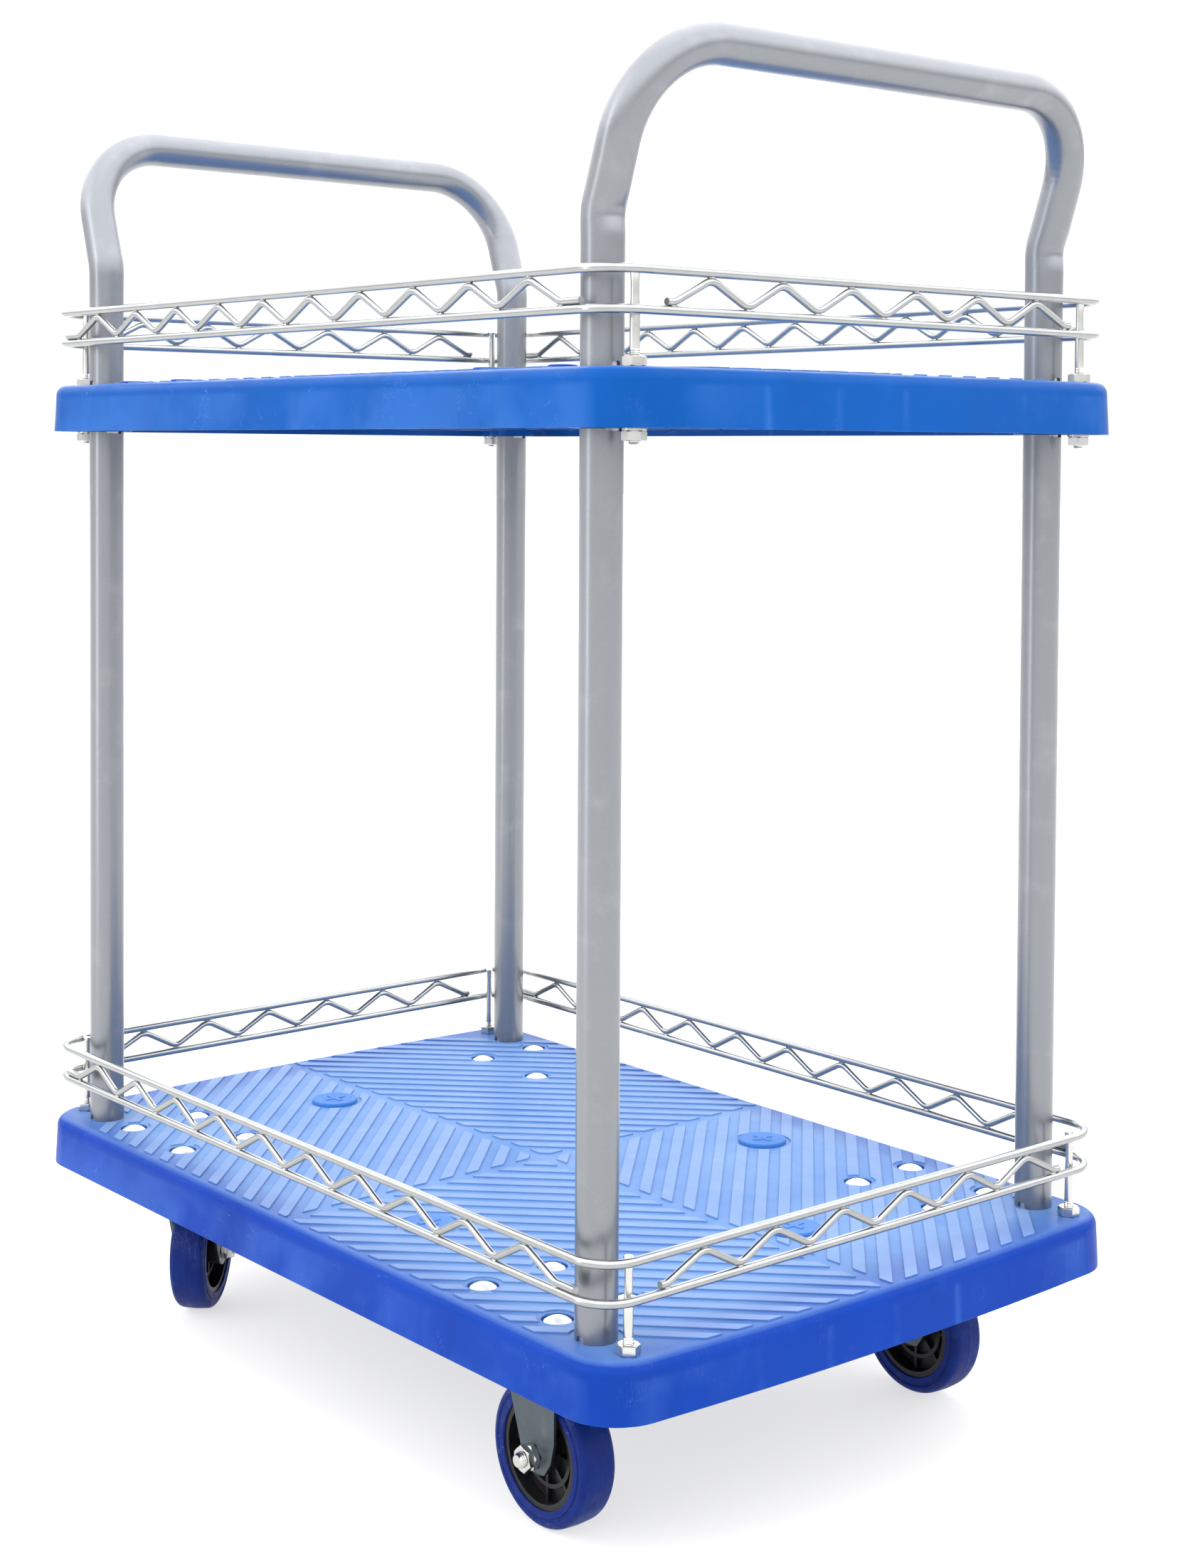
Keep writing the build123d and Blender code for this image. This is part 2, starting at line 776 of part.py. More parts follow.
# caster fasteners
save(caster_bolt(), "caster_bolts", *[(x, y, lower_deck_top) for x, y in bolt_places])
under_plate = caster_height - plate_thickness
save(
    washer(m8_washer_radius, m8_radius + slip, washer_thickness),
    "caster_washers",
    *[(x, y, under_plate) for x, y in bolt_places],
)
save(
    hex_nut(m8_flats, m8_nut_height, m8_radius + slip),
    "caster_nuts",
    *[(x, y, under_plate - washer_thickness - m8_nut_height) for x, y in bolt_places],
)

# fixed casters at the front: the nuts are on the outside
hub_form = wheel_hub()
tyre_form = wheel_tyre()
fork_form = rigid_fork()
front_axles = []
for side, way in sides.items():
    axle = Location((caster_x, way * caster_y, wheel_radius), (-90 * way, 0, 0))
    front_axles.append(axle)
    save(fork_form, f"rigid_fork_{side}", (caster_x, way * caster_y, caster_height))
    save(hub_form, f"hub_front_{side}", axle)
    save(tyre_form, f"tyre_front_{side}", axle)
save(axle_sleeve(), "rigid_axle_sleeves", *front_axles)
save(axle_bolt(), "rigid_axle_bolts", *front_axles)
save(axle_nuts(), "rigid_axle_nuts", *front_axles)

# swivel casters at the rear, both with their wheels turned towards the cart's middle
plate_form = swivel_plate()
swivel_form = swivel_fork()
for side, way in sides.items():
    mount = Location((-caster_x, way * caster_y, caster_height))
    turned = mount * Location((0, 0, 0), (0, 0, -way * swivel_heading))
    axle = turned * Location((trail, 0, -axle_drop), (90, 0, 0))
    save(plate_form, f"swivel_plate_{side}", mount)
    save(swivel_form, f"swivel_fork_{side}", turned)
    save(kingpin(), f"kingpin_{side}", turned)
    save(race_balls(), f"race_balls_{side}", turned)
    save(hub_form, f"hub_rear_{side}", axle)
    save(tyre_form, f"tyre_rear_{side}", axle)
    save(axle_sleeve(), f"swivel_axle_sleeve_{side}", axle)
    save(axle_bolt(), f"swivel_axle_bolt_{side}", axle)
    save(axle_nuts(), f"swivel_axle_nuts_{side}", axle)
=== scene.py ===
import json
import math
import random

import bpy
from mathutils import Matrix, Vector


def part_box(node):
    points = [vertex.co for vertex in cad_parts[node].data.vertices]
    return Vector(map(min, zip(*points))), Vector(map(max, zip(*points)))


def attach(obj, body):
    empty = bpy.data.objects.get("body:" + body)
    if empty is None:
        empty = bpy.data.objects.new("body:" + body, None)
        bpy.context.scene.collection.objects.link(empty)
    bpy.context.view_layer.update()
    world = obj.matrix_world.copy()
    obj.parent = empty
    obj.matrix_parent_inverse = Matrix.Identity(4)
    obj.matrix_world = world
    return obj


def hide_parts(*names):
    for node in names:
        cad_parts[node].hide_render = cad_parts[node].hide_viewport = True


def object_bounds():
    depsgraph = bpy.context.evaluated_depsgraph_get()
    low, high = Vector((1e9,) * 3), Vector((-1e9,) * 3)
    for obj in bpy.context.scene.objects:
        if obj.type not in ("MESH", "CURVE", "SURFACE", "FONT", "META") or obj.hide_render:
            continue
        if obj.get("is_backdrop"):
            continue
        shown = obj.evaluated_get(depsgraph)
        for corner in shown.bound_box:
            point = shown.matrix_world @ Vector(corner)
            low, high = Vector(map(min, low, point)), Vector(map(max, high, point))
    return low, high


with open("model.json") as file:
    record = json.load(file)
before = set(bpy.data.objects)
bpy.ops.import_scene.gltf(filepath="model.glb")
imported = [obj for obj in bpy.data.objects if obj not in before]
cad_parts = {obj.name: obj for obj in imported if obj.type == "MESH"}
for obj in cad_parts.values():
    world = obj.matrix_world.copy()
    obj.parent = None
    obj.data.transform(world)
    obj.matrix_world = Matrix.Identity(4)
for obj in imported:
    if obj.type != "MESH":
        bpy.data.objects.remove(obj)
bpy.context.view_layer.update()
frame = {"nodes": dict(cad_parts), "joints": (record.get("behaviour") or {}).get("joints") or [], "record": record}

MM = 0.001
X = Vector((1, 0, 0))
Y = Vector((0, 1, 0))
Z = Vector((0, 0, 1))


# ---------------------------------------------------------------- where the CAD pieces are
def middle(node):
    """The middle of a CAD piece's box."""
    low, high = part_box(node)
    return (low + high) / 2


def size(node):
    """The lengths of a CAD piece's box."""
    low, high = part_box(node)
    return high - low


def corners(x, y):
    """The four corners of a rectangle about the cart's middle."""
    return [(x, y), (x, -y), (-x, y), (-x, -y)]


post_middle = middle("post_front_left")
post_x, post_y = post_middle.x, post_middle.y
tube_radius = size("post_front_left").x / 2
tube_wall = 1.5 * MM
ring_radius = size("lower_rail_top_wire").z / 2
ring_x = size("lower_rail_top_wire").x / 2 - ring_radius
ring_y = size("lower_rail_top_wire").y / 2 - ring_radius
ring_bend = 27 * MM
stud_radius = 3.5 * MM
stud_x = size("upper_rail_studs").x / 2 - stud_radius
stud_y = size("upper_rail_studs").y / 2 - stud_radius
wheel_radius = size("tyre_front_left").z / 2
tiers = {
    "lower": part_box("post_front_left")[0].z,
    "upper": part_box("handle_front")[0].z,
}
deck_height = tiers["upper"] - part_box("upper_deck")[0].z
joints = {joint["name"]: joint for joint in frame["joints"]}
cart_ends = (("front", 1), ("rear", -1))
cart_sides = (("left", 1), ("right", -1))


# ---------------------------------------------------------------- mesh parts: (points, faces)
def lathe(profile, sides=48):
    """Turns (radius, height) points about Z. A radius of zero closes the part with a fan."""
    points, rings, faces = [], [], []
    for radius, height in profile:
        if radius < 1e-9:
            rings.append([len(points)] * sides)
            points.append(Vector((0, 0, height)))
            continue
        rings.append(list(range(len(points), len(points) + sides)))
        for step in range(sides):
            turn = 2 * math.pi * step / sides
            points.append(Vector((radius * math.cos(turn), radius * math.sin(turn), height)))
    for below, above in zip(rings, rings[1:]):
        for step in range(sides):
            after = (step + 1) % sides
            corner = [below[step], below[after], above[after], above[step]]
            face = list(dict.fromkeys(corner))
            if len(face) > 2:
                faces.append(face)
    return points, faces


def closed_lathe(profile, sides=48):
    """Turns a closed ring of (radius, height) points about Z, as for a washer or a tyre."""
    return lathe(profile + profile[:1], sides)


def sweep(path, radius, sides=24, closed=False, wall=None):
    """Sweeps a round section along a path. radius is a length, or a function of distance and direction."""
    count = len(path)
    distance, distances = 0.0, [0.0]
    for here, there in zip(path, path[1:]):
        distance += (there - here).length
        distances.append(distance)
    tangents = []
    for index in range(count):
        before = path[index - 1] if index or closed else path[index]
        after = path[(index + 1) % count] if index < count - 1 or closed else path[index]
        tangents.append((after - before).normalized())
    side = tangents[0].orthogonal().normalized()
    if abs(tangents[0].dot(X)) < 0.9:
        side = (X - tangents[0] * tangents[0].dot(X)).normalized()
    points, faces = [], []

    def ring(index, inset):
        start = len(points)
        other = tangents[index].cross(side)
        for step in range(sides):
            turn = 2 * math.pi * step / sides
            way = side * math.cos(turn) + other * math.sin(turn)
            reach = radius(distances[index], way) if callable(radius) else radius
            points.append(path[index] + way * (reach - inset))
        return start

    outer, inner = [], []
    for index in range(count):
        side = (side - tangents[index] * tangents[index].dot(side)).normalized()
        outer.append(ring(index, 0))
        if wall:
            inner.append(ring(index, wall))
    if closed:
        outer.append(outer[0])

    def skin(a, b, flip):
        for step in range(sides):
            after = (step + 1) % sides
            face = [a + step, a + after, b + after, b + step]
            faces.append(face[::-1] if flip else face)

    for a, b in zip(outer, outer[1:]):
        skin(a, b, False)
    for a, b in zip(inner, inner[1:]):
        skin(a, b, True)
    if wall:
        skin(inner[0], outer[0], False)
        skin(outer[-1], inner[-1], False)
    elif not closed:
        faces.append([outer[0] + step for step in reversed(range(sides))])
        faces.append([outer[-1] + step for step in range(sides)])
    return points, faces


def hexagon(flats, low, high, bore=None, sides=72):
    """A hex nut or bolt head with its corners turned down by a cone at both ends."""
    half = flats / 2
    face_radius = half * 0.96

    def reach(turn):
        return half / math.cos((turn + math.pi / 6) % (math.pi / 3) - math.pi / 6)

    points, rings = [], []

    def ring(radius_at, height_at):
        start = len(points)
        for step in range(sides):
            turn = 2 * math.pi * step / sides
            radius = radius_at(turn)
            points.append(Vector((radius * math.cos(turn), radius * math.sin(turn), height_at(turn))))
        rings.append(start)

    slope = math.tan(math.radians(28))
    if bore:
        ring(lambda turn: bore, lambda turn: low + bore * 0.15)
        ring(lambda turn: bore * 1.12, lambda turn: low)
    ring(lambda turn: face_radius, lambda turn: low)
    ring(reach, lambda turn: low + (reach(turn) - face_radius) * slope)
    ring(reach, lambda turn: high - (reach(turn) - face_radius) * slope)
    ring(lambda turn: face_radius, lambda turn: high)
    if bore:
        ring(lambda turn: bore * 1.12, lambda turn: high)
        ring(lambda turn: bore, lambda turn: high - bore * 0.15)
        rings.append(rings[0])
    faces = []
    for a, b in zip(rings, rings[1:]):
        for step in range(sides):
            after = (step + 1) % sides
            faces.append([a + step, a + after, b + after, b + step])
    if not bore:
        faces.append([rings[0] + step for step in reversed(range(sides))])
        faces.append([rings[-1] + step for step in range(sides)])
    return points, faces


def thread(radius, low, high, pitch=1.25 * MM, sides=32):
    """A threaded rod: crests and roots in turn, with a pointed lead at both ends."""
    depth = pitch * 0.35
    profile = [(0, low), (radius - 2 * depth, low)]
    height = low + pitch / 2
    while height < high - pitch / 2:
        profile.append((radius, height))
        profile.append((radius - depth, height + pitch / 2))
        height += pitch
    profile += [(radius - 2 * depth, high), (0, high)]
    return lathe(profile, sides)


def arc(centre, start, end, steps):
    """Points on an arc about centre from start to end, ends left out."""
    a, b = start - centre, end - centre
    angle = a.angle(b)
    made = []
    for step in range(1, steps):
        share = step / steps
        blend = a * math.sin((1 - share) * angle) + b * math.sin(share * angle)
        made.append(centre + blend / math.sin(angle))
    return made


def rounded(points, radii, closed=False, steps=10):
    """Replaces each corner of a path with an arc of the given radius."""
    count = len(points)
    made = []
    for index, corner in enumerate(points):
        if not closed and index in (0, count - 1):
            made.append(corner.copy())
            continue
        back = (points[index - 1] - corner).normalized()
        on = (points[(index + 1) % count] - corner).normalized()
        half = back.angle(on) / 2
        radius = radii[index] if isinstance(radii, (list, tuple)) else radii
        run = radius / math.tan(half)
        start, end = corner + back * run, corner + on * run
        centre = corner + (back + on).normalized() * (radius / math.sin(half))
        made += [start] + arc(centre, start, end, steps) + [end]
    return made


class Shape:
    """Points and faces that grow part by part, then become one piece."""

    def __init__(self):
        self.points = []
        self.faces = []

    def add(self, part, place=None):
        points, faces = part
        start = len(self.points)
        self.points += [place @ point if place else point for point in points]
        self.faces += [[start + index for index in face] for face in faces]
        return self

    def piece(self, name, material, body, slot, nodes, sharp=35):
        """Makes one piece that rides on a body and stands for CAD nodes; sharp is an angle in degrees."""
        mesh = bpy.data.meshes.new(name)
        mesh.from_pydata([tuple(point) for point in self.points], [], self.faces)
        mesh.validate()
        mesh.shade_smooth()
        mesh.set_sharp_from_angle(angle=math.radians(sharp))
        mesh.materials.append(material)
        made = bpy.data.objects.new(name, mesh)
        bpy.context.scene.collection.objects.link(made)
        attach(made, body)
        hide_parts(*nodes)
        return made


def at(x, y, z, turn=0.0):
    """A place to add a part at, turned about Z."""
    return Matrix.Translation((x, y, z)) @ Matrix.Rotation(turn, 4, "Z")


# ---------------------------------------------------------------- materials
class Look:
    """A material built from nodes, with short names for the common ones."""

    def __init__(self, name, metallic=0.0, specular=0.5, coat=0.0, coat_roughness=0.1):
        self.material = bpy.data.materials.new(name)
        self.material.use_nodes = True
        self.tree = self.material.node_tree
        self.shader = self.tree.nodes["Principled BSDF"]
        self.shader.inputs["Metallic"].default_value = metallic
        self.shader.inputs["Specular IOR Level"].default_value = specular
        self.shader.inputs["Coat Weight"].default_value = coat
        self.shader.inputs["Coat Roughness"].default_value = coat_roughness
        self.place = self.node("ShaderNodeTexCoord").outputs["Object"]
        self.height = None

    def node(self, kind, **settings):
        made = self.tree.nodes.new(kind)
        for name, value in settings.items():
            setattr(made, name, value)
        return made

    def put(self, value, socket):
        if isinstance(value, bpy.types.NodeSocket):
            self.tree.links.new(value, socket)
        else:
            socket.default_value = value

    def stretched(self, scale):
        """The piece's own coordinates, scaled by an amount for each axis."""
        mapping = self.node("ShaderNodeMapping")
        self.put(self.place, mapping.inputs["Vector"])
        mapping.inputs["Scale"].default_value = scale
        return mapping.outputs["Vector"]

    def noise(self, scale, detail=4.0, roughness=0.55, stretch=None, distortion=0.0):
        made = self.node("ShaderNodeTexNoise")
        self.put(self.stretched(stretch) if stretch else self.place, made.inputs["Vector"])
        made.inputs["Scale"].default_value = scale
        made.inputs["Detail"].default_value = detail
        made.inputs["Roughness"].default_value = roughness
        made.inputs["Distortion"].default_value = distortion
        return made.outputs["Fac"]

    def cells(self, scale, output="Distance"):
        made = self.node("ShaderNodeTexVoronoi")
        self.put(self.place, made.inputs["Vector"])
        made.inputs["Scale"].default_value = scale
        return made.outputs[output]

    def span(self, value, low, high, to_low=0.0, to_high=1.0):
        """Maps low..high to to_low..to_high and holds it there."""
        made = self.node("ShaderNodeMapRange")
        for socket, number in zip(range(5), (value, low, high, to_low, to_high)):
            self.put(number, made.inputs[socket])
        return made.outputs["Result"]

    def math(self, operation, a, b):
        made = self.node("ShaderNodeMath", operation=operation)
        self.put(a, made.inputs[0])
        self.put(b, made.inputs[1])
        return made.outputs[0]

    def times(self, first, *others):
        """All the values multiplied together."""
        for other in others:
            first = self.math("MULTIPLY", first, other)
        return first

    def mix(self, share, a, b):
        made = self.node("ShaderNodeMix", data_type="RGBA")
        self.put(share, made.inputs["Factor"])
        for value, socket in ((a, made.inputs[6]), (b, made.inputs[7])):
            self.put((*value, 1.0) if isinstance(value, tuple) else value, socket)
        return made.outputs[2]

    def axes(self):
        """The piece's own x, y and z."""
        split = self.node("ShaderNodeSeparateXYZ")
        self.put(self.place, split.inputs[0])
        return split.outputs

    def lines(self, along, pitch, width):
        """One on lines a pitch apart, fading to zero over the width."""
        wave = self.node("ShaderNodeMath", operation="PINGPONG")
        self.put(self.math("ADD", along, pitch * 20), wave.inputs[0])
        wave.inputs[1].default_value = pitch / 2
        return self.span(wave.outputs[0], 0.0, width, 1.0, 0.0)

    def edges(self, radius):
        """One on sharp outer and inner edges, fading to zero on flat faces."""
        bevel = self.node("ShaderNodeBevel", samples=6)
        bevel.inputs["Radius"].default_value = radius
        dot = self.node("ShaderNodeVectorMath", operation="DOT_PRODUCT")
        geometry = self.node("ShaderNodeNewGeometry")
        self.put(bevel.outputs["Normal"], dot.inputs[0])
        self.put(geometry.outputs["Normal"], dot.inputs[1])
        return self.span(self.math("SUBTRACT", 1.0, dot.outputs["Value"]), 0.02, 0.25)

    def bump(self, height, strength, distance):
        made = self.node("ShaderNodeBump")
        made.inputs["Strength"].default_value = strength
        made.inputs["Distance"].default_value = distance
        self.put(height, made.inputs["Height"])
        if self.height:
            self.put(self.height, made.inputs["Normal"])
        self.height = made.outputs["Normal"]

    def round_edges(self, radius):
        bevel = self.node("ShaderNodeBevel", samples=6)
        bevel.inputs["Radius"].default_value = radius
        if self.height:
            self.put(self.height, bevel.inputs["Normal"])
        self.height = bevel.outputs["Normal"]

    def done(self, colour, roughness):
        self.put(colour, self.shader.inputs["Base Color"])
        self.put(roughness, self.shader.inputs["Roughness"])
        if self.height:
            self.put(self.height, self.shader.inputs["Normal"])
        return self.material

    def scratches(self, scale, turn, width=0.012):
        """Thin broken lines, one where there is a scratch."""
        mapping = self.node("ShaderNodeMapping")
        self.put(self.place, mapping.inputs["Vector"])
        mapping.inputs["Rotation"].default_value = (turn * 0.7, turn * 0.4, turn)
        mapping.inputs["Scale"].default_value = (1.0, 14.0, 1.0)
        lines = self.node("ShaderNodeTexNoise")
        self.put(mapping.outputs["Vector"], lines.inputs["Vector"])
        lines.inputs["Scale"].default_value = scale
        lines.inputs["Detail"].default_value = 2.0
        near = self.math("ABSOLUTE", self.math("SUBTRACT", lines.outputs["Fac"], 0.5), 0.0)
        line = self.span(near, 0.0, width, 1.0, 0.0)
        broken = self.span(self.noise(scale * 0.4), 0.56, 0.66)
        return self.times(line, broken)


def shade(colour, share):
    """The same colour, darker or lighter."""
    return tuple(part * share for part in colour)


pale_blue = (0.12, 0.28, 0.72)
rib_pitch = 62.5 * MM
sink_width = 5 * MM


def deck_sinks_and_sheen(look, colour, roughness, deck_top):
    """What a deck adds to plain plastic: faint upright sink marks on the skirt over the hidden ribs, a top painted
    paler as painted sky sheen, less towards the border, and raised stripes painted paler still as sheen and made
    rougher."""
    x, y, z = look.axes()
    sink = look.math("MAXIMUM", look.lines(x, rib_pitch, sink_width), look.lines(y, rib_pitch, sink_width))
    skirt = look.span(z, deck_top - 12 * MM, deck_top - 9 * MM, 1.0, 0.0)
    uneven = look.span(look.noise(13.0, detail=3.0), 0.42, 0.62, 0.0, 0.13)
    colour = look.mix(look.times(sink, skirt, uneven), colour, pale_blue)
    border_x = look.span(look.math("ABSOLUTE", x, 0.0), 330 * MM, 362 * MM)
    border_y = look.span(look.math("ABSOLUTE", y, 0.0), 212 * MM, 238 * MM)
    inland = look.math("SUBTRACT", 1.0, look.times(look.math("MAXIMUM", border_x, border_y), 0.55))
    # Painted sheen: the top, and the rim down to 2 mm below it, are painted paler to stand for the sky's light,
    # less towards the border; on the rim this is a painted glare line.
    painted_top_sheen = look.times(look.span(z, deck_top - 2.2 * MM, deck_top - 0.1 * MM), inland)
    sheen_blotch = look.span(look.noise(7.0, detail=5.0, distortion=0.8), 0.35, 0.7)
    colour = look.mix(painted_top_sheen, colour, look.mix(sheen_blotch, (0.092, 0.205, 0.47), (0.135, 0.260, 0.52)))
    # Painted sheen: the raised stripes are painted paler still, standing for sky light scattered by their rougher
    # finish. Their roughness is also raised.
    raised = look.span(z, deck_top + 0.45 * MM, deck_top + 0.95 * MM)
    under_caps = look.span(z, deck_top + 1.1 * MM, deck_top + 1.4 * MM, 1.0, 0.0)
    rubbed = look.times(raised, under_caps, look.span(look.noise(12.0), 0.2, 0.8, 0.40, 0.85))
    colour = look.mix(rubbed, colour, (0.21, 0.31, 0.54))
    return colour, look.math("ADD", roughness, look.times(rubbed, 0.10))


def moulded_plastic(name, base, gloss=0.34, deck_top=None):
    """Moulded plastic with flow marks, a fine grain, edges painted paler as partly real wear and partly painted
    edge highlight, and grime specks. A deck gives the height of its top in metres and gets a deck's sink marks and
    painted sheen."""
    look = Look(name, specular=0.06)
    flow = look.noise(9.0, detail=5.0, stretch=(1.0, 1.0, 0.25), distortion=0.6)
    colour = look.mix(look.span(flow, 0.3, 0.7), shade(base, 0.88), shade(base, 1.10))
    cloud = look.span(look.noise(3.1, detail=6.0), 0.45, 0.8, 0.0, 0.05)
    colour = look.mix(cloud, colour, pale_blue)
    roughness = look.span(look.noise(38.0, detail=6.0), 0.25, 0.8, gloss - 0.07, gloss + 0.11)
    if deck_top is not None:
        colour, roughness = deck_sinks_and_sheen(look, colour, roughness, deck_top)
    # Edges painted paler: partly real wear and partly painted edge highlight.
    worn = look.times(look.edges(1.2 * MM), look.span(look.noise(60.0), 0.42, 0.62, 0.0, 0.3))
    colour = look.mix(worn, colour, pale_blue)
    marks = look.math("MAXIMUM", look.scratches(60.0, 0.6, 0.006), look.scratches(84.0, 2.1, 0.006))
    colour = look.mix(look.times(marks, 0.16), colour, (0.45, 0.56, 0.85))
    specks = look.span(look.cells(140.0), 0.02, 0.07, 0.7, 0.0)
    specks = look.times(specks, look.span(look.noise(14.0), 0.56, 0.64))
    colour = look.mix(specks, colour, shade(base, 0.45))
    look.round_edges(0.7 * MM)
    look.bump(look.noise(16.0, detail=3.0), 0.25, 1.0 * MM)
    look.bump(look.noise(900.0, detail=2.0), 0.08, 0.08 * MM)
    return look.done(colour, roughness)


def silver_paint(name):
    """Metallic silver paint: flake, orange peel, faint clouding, chips and handling marks."""
    look = Look(name, metallic=0.85, specular=0.5, coat=0.20, coat_roughness=0.10)
    flake = look.cells(2600.0, output="Color")
    grey = look.node("ShaderNodeRGBToBW")
    look.put(flake, grey.inputs["Color"])
    colour = look.mix(look.span(grey.outputs["Val"], 0.1, 0.9), (0.216, 0.229, 0.250), (0.238, 0.252, 0.273))
    cloud = look.span(look.noise(11.0, detail=5.0), 0.35, 0.75, 0.0, 0.20)
    colour = look.mix(cloud, colour, (0.19, 0.20, 0.22))
    handled = look.span(look.noise(34.0, detail=6.0), 0.55, 0.75, 0.0, 0.12)
    colour = look.mix(handled, colour, (0.55, 0.56, 0.58))
    chips = look.span(look.cells(95.0), 0.015, 0.035, 1.0, 0.0)
    chips = look.times(chips, look.span(look.noise(19.0), 0.60, 0.63))
    colour = look.mix(look.times(chips, 0.85), colour, (0.13, 0.12, 0.12))
    roughness = look.span(look.noise(55.0, detail=6.0), 0.25, 0.8, 0.29, 0.37)
    look.bump(look.noise(420.0, detail=2.0), 0.02, 0.08 * MM)
    look.bump(chips, 0.5, -0.12 * MM)
    return look.done(colour, roughness)


def zinc(name, bright, roughness=0.27, grain=300.0, stains=0.2, metallic=1.0, rounding=0.25 * MM):
    """Bright zinc plate: a faint mottle, dull patches and a drawn grain, rubbed bright on sharp edges."""
    look = Look(name, metallic=metallic)
    colour = look.mix(look.span(look.noise(70.0, detail=4.0), 0.35, 0.68), shade(bright, 0.92), bright)
    stain = look.span(look.noise(31.0, detail=4.0), 0.56, 0.74, 0.0, stains)
    colour = look.mix(stain, colour, (0.30, 0.29, 0.27))
    rough = look.span(look.noise(60.0, detail=4.0), 0.3, 0.75, roughness - 0.04, roughness + 0.08)
    if rounding:
        colour = look.mix(look.times(look.edges(2 * rounding), 0.6), colour, shade(bright, 1.12))
        look.round_edges(rounding)
    look.bump(look.noise(grain, detail=2.0), 0.05, 0.05 * MM)
    return look.done(colour, rough)


def tyre_rubber(name):
    """Blue cushion rubber: a fine matt grain, floor dust on the tread and small scuffs."""
    look = Look(name, specular=0.12)
    mottle = look.span(look.noise(45.0, detail=5.0), 0.35, 0.7)
    colour = look.mix(mottle, (0.001, 0.011, 0.115), (0.002, 0.018, 0.150))
    dust = look.span(look.noise(75.0, detail=7.0, roughness=0.7), 0.52, 0.78, 0.0, 0.25)
    colour = look.mix(dust, colour, (0.06, 0.09, 0.20))
    marks = look.math("MAXIMUM", look.scratches(55.0, 0.4), look.scratches(70.0, 1.9))
    colour = look.mix(look.times(marks, 0.35), colour, (0.25, 0.30, 0.45))
    specks = look.span(look.cells(300.0), 0.05, 0.12, 0.8, 0.0)
    specks = look.times(specks, look.span(look.noise(40.0), 0.54, 0.6))
    colour = look.mix(specks, colour, (0.02, 0.02, 0.03))
    roughness = look.span(look.noise(110.0), 0.3, 0.7, 0.36, 0.58)
    look.bump(look.noise(700.0, detail=3.0), 0.22, 0.10 * MM)
    look.bump(look.noise(60.0, detail=3.0), 0.15, 0.5 * MM)
    return look.done(colour, roughness)


def black_plastic(name):
    """Glass-filled black plastic: fine grain, faint flow lines, grey dust in the corners."""
    look = Look(name, specular=0.3)
    flow = look.span(look.noise(30.0, detail=5.0), 0.3, 0.7)
    colour = look.mix(flow, (0.004, 0.004, 0.005), (0.010, 0.010, 0.012))
    dust = look.span(look.noise(95.0, detail=6.0), 0.55, 0.8, 0.0, 0.2)
    colour = look.mix(dust, colour, (0.04, 0.04, 0.04))
    colour = look.mix(look.times(look.edges(0.6 * MM), 0.2), colour, (0.05, 0.05, 0.055))
    roughness = look.span(look.noise(60.0), 0.3, 0.7, 0.30, 0.50)
    look.round_edges(0.4 * MM)
    look.bump(look.noise(800.0, detail=2.0), 0.15, 0.08 * MM)
    return look.done(colour, roughness)


# Painted shade: the lower deck's blue is painted darker than the upper's, as shade under the upper deck.
deck_blues = {"lower": (0.001, 0.031, 0.262), "upper": (0.001, 0.065, 0.290)}
deck_plastics = {}
for tier, top in tiers.items():
    deck_plastics[tier] = moulded_plastic(f"{tier}_deck_plastic", deck_blues[tier], deck_top=top)
cap_plastic = moulded_plastic("cap_plastic", (0.045, 0.165, 0.48), gloss=0.30)
plug_plastic = moulded_plastic("plug_plastic", (0.002, 0.056, 0.36), gloss=0.30)
tube_paint = silver_paint("tube_paint")
wire_zinc = zinc("wire_zinc", (0.38, 0.39, 0.395), roughness=0.20, stains=0.10, rounding=0)
nut_zinc = zinc("nut_zinc", (0.60, 0.60, 0.58), roughness=0.20)
head_zinc = zinc("head_zinc", (0.84, 0.86, 0.86), roughness=0.42, stains=0.1, metallic=0.55)
# Painted shade: the forks' zinc is painted far darker than the plating's own tone, as shade under the deck.
shaded_fork_zinc = zinc("shaded_fork_zinc", (0.092, 0.112, 0.130), roughness=0.34, grain=180.0)
plain_steel = zinc("plain_steel", (0.55, 0.55, 0.56), roughness=0.36)
rubber = tyre_rubber("tyre_rubber")
hub_black = black_plastic("hub_plastic")

slot_materials = {
    "cap_plastic": cap_plastic,
    "plug_plastic": plug_plastic,
    "tube_paint": tube_paint,
    "zinc_wire": wire_zinc,
    "bolt_steel": head_zinc,
    "fastener_zinc": nut_zinc,
    "caster_steel": shaded_fork_zinc,
    "sleeve_steel": plain_steel,
    "plug_steel": plain_steel,
    "ball_steel": plain_steel,
    "tyre_rubber": rubber,
    "hub_plastic": hub_black,
}
for part in frame["record"]["subparts"]:
    node = frame["nodes"][part["node"]]
    node.data.materials.clear()
    tier = part["node"].split("_")[0]
    is_deck = part["material_slot"] == "deck_plastic"
    node.data.materials.append(deck_plastics[tier] if is_deck else slot_materials[part["material_slot"]])
    node.data.shade_smooth()
    node.data.set_sharp_from_angle(angle=math.radians(30))


# ---------------------------------------------------------------- posts
# a notch's half width is an angle around the tube
foot_notch_depth = 4 * MM
foot_notch_half = 0.21
top_notch_depth = 2 * MM
top_notch_half = 0.5
notch_margin = 0.5 * MM
end_rounding = 0.25 * MM


def near_angle(turn, way, half):
    """Whether the angle turn lies within half of the angle way."""
    return abs(math.remainder(turn - way, 2 * math.pi)) < half


